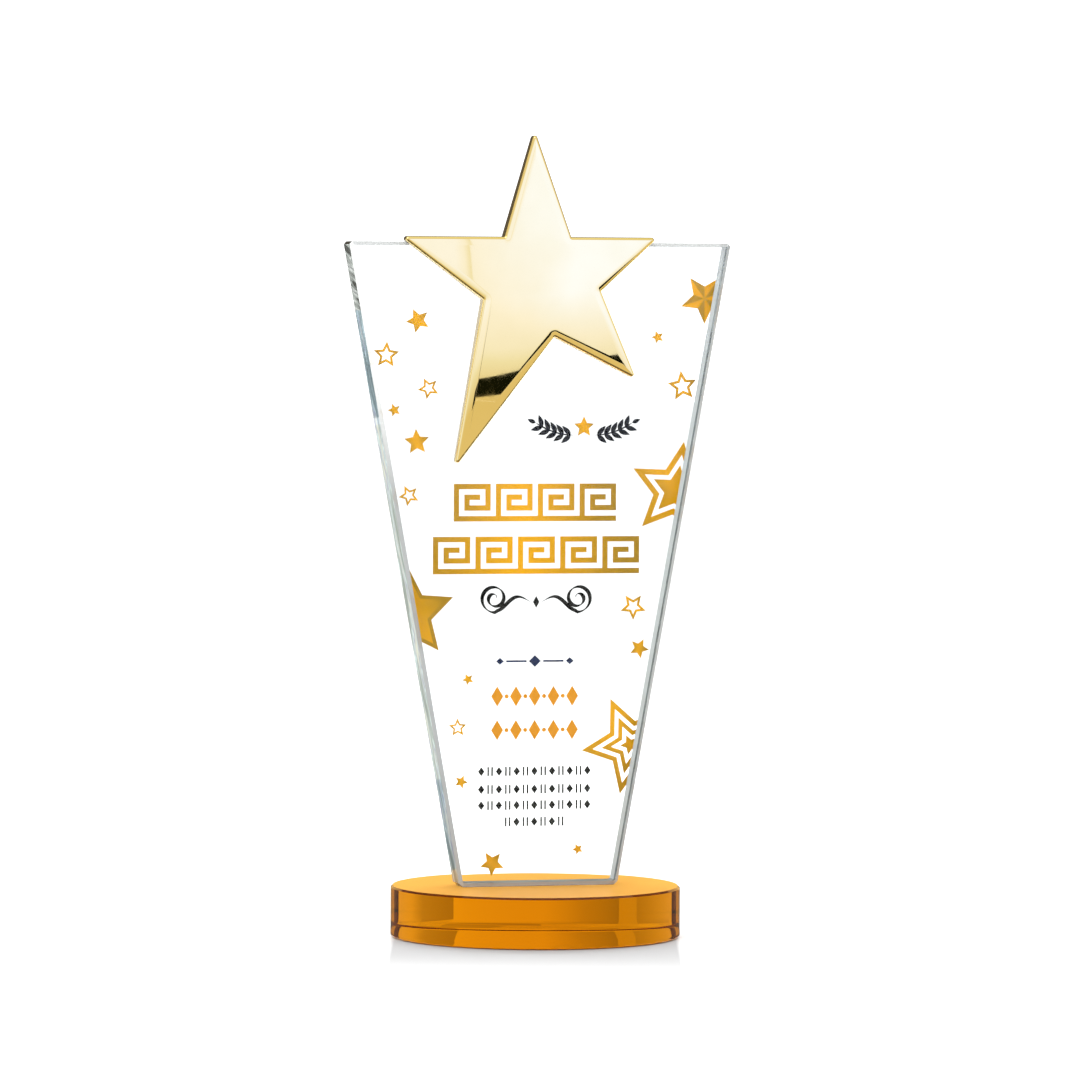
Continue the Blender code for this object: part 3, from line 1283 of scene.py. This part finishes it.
# The lit cards that the star's face reflects, and beside them those that its rim reflects
STAR_LIGHT_STOPS = [
    (0.0, (0.282, 0.248, 0.158)),
    (0.5, (0.326, 0.351, 0.394)),
    (0.75, (0.364, 0.412, 0.648)),
    (1.0, (0.374, 0.473, 0.994)),
]
LEFT_AZIMUTHS = [-95, -70, -45, -25, -10, 8.6, 9.2, 9.6]
LEFT_ROWS = [
    (0.00, [0.0, 0.0, 0.0, 0.0, 0.0, 0.0, 0.0, 0.0]),
    (0.12, [0.0, 0.2, 0.5, 0.3, 0.5, 0.65, 0.6, 0.4]),
    (0.24, [0.0, 0.3, 0.8, 0.3, 0.8, 0.84, 0.76, 0.5]),
    (0.70, [0.0, 0.3, 0.8, 0.3, 0.8, 0.84, 0.76, 0.5]),
    (0.90, [0.0, 0.1, 0.2, 0.2, 0.2, 0.2, 0.2, 0.2]),
    (2.00, [0.1, 0.1, 0.1, 0.1, 0.1, 0.1, 0.1, 0.1]),
]
RIGHT_AZIMUTHS = [9.6, 13.0, 16.0, 22.0, 40.0, 70.0, 100.0]
RIGHT_ROWS = [
    (0.00, [0.0, 0.0, 0.0, 0.0, 0.0, 0.0, 0.0]),
    (0.12, [0.60, 0.65, 0.66, 0.6, 0.4, 0.3, 0.0]),
    (0.24, [0.76, 0.86, 0.98, 0.98, 0.8, 0.4, 0.0]),
    (0.40, [0.80, 0.96, 1.0, 1.0, 0.8, 0.4, 0.0]),
    (0.70, [0.80, 0.92, 1.0, 1.0, 0.8, 0.4, 0.0]),
    (0.90, [0.2, 0.2, 0.2, 0.2, 0.2, 0.1, 0.0]),
    (2.00, [0.1, 0.1, 0.1, 0.1, 0.1, 0.1, 0.0]),
]


# The dark strip that crosses the star's reflections: (azimuth, low, high)
STRIP = [
    (8.0, -0.004, 0.042),
    (15.0, 0.046, 0.092),
    (18.0, 0.045, 0.113),
    (22.0, 0.075, 0.140),
    (45.0, 0.120, 0.220),
]


def dark_strip(material):
    """The strip as a card, just in front of the lit ones."""
    shape = bmesh.new()
    columns = []
    for azimuth, low, high in STRIP:
        columns.append([shape.verts.new(around(azimuth, STRIP_DISTANCE, z)) for z in (low, high)])
    for left, right in zip(columns, columns[1:]):
        shape.faces.new((left[0], right[0], right[1], left[1]))
    return staged(shape, "dark_strip", material)


def star_surroundings():
    """Cards that only reflections see, as on a jewellery set."""
    light = toned_glow("star_light", 3.3, STAR_LIGHT_STOPS)
    black = glow("flag_black", (0.008, 0.010, 0.004), 1.0)
    dusk = glow("flag_brown", (0.20, 0.18, 0.14), 1.0)
    gold_light = glow("ceiling_light", (1.05, 1.05, 0.80), 1.0)
    floor_light = glow("floor_light", (0.93, 0.82, 0.52), 1.0)
    warm_light = glow_below("warm_light", (1.0, 0.64, 0.22), 1.36)
    curtain_azimuths = list(range(100, 270, 10))
    dusk_rows = [(height, [0.0] * len(curtain_azimuths)) for height in (0.0, CEILING_Z)]
    reach = CEILING_REACH
    split = CEILING_SPLIT_Y
    cards = (
        toned_card("left_light", LIGHT_DISTANCE, LEFT_AZIMUTHS, LEFT_ROWS, light),
        toned_card("right_light", LIGHT_DISTANCE, RIGHT_AZIMUTHS, RIGHT_ROWS, light),
        toned_card("rear_curtain", CURTAIN_DISTANCE, curtain_azimuths, dusk_rows, dusk),
        dark_strip(black),
        level_card("ceiling_front", reach, -reach, split, CEILING_Z, gold_light),
        level_card("ceiling_rear", reach, split, reach, CEILING_Z, dusk),
        round_sheet("near_floor", 0.0545, 0.40, 0.3 * MM, dusk),
        round_sheet("far_floor", 0.40, 2.04, 0.3 * MM, floor_light),
        round_sheet("warm_sheet", 0.12, 0.9, 0.06, warm_light),
    )
    for obj in cards:
        hide_from(obj, "camera", "diffuse", "transmission", "shadow")


def camera():
    lens = bpy.data.cameras.new("camera")
    lens.lens = LENS_LENGTH
    lens.sensor_width = SENSOR_WIDTH
    obj = bpy.data.objects.new("camera", lens)
    bpy.context.scene.collection.objects.link(obj)
    turn = Matrix.Rotation(radians(-VIEW_AZIMUTH), 4, "Z")
    tip = Matrix.Rotation(radians(90.0 - VIEW_DROP), 4, "X")
    roll = Matrix.Rotation(radians(VIEW_ROLL), 4, "Z")
    back_off = Matrix.Translation((0.0, 0.0, CAMERA_GAP))
    obj.matrix_world = Matrix.Translation(VIEW_TARGET) @ turn @ tip @ roll @ back_off
    bpy.context.scene.camera = obj


def studio():
    bpy.context.scene.view_settings.view_transform = "Standard"
    world()
    floor()
    star_surroundings()
    base_backdrop()
    camera()
    softbox("key", KEY_PLACE, KEY_TARGET, (1.0, 1.0), 12.0)
    back = softbox("back", BACK_PLACE, BACK_TARGET, (1.9, 0.4), 21.0)
    hide_from(back, "camera", "glossy")


# ---------- build

adhesive = clear_adhesive()
finish_node("base_film", adhesive)
finish_node("star_pad", adhesive)
amber_disc()
chamfered_plate()
polished_star()
artwork()
studio()
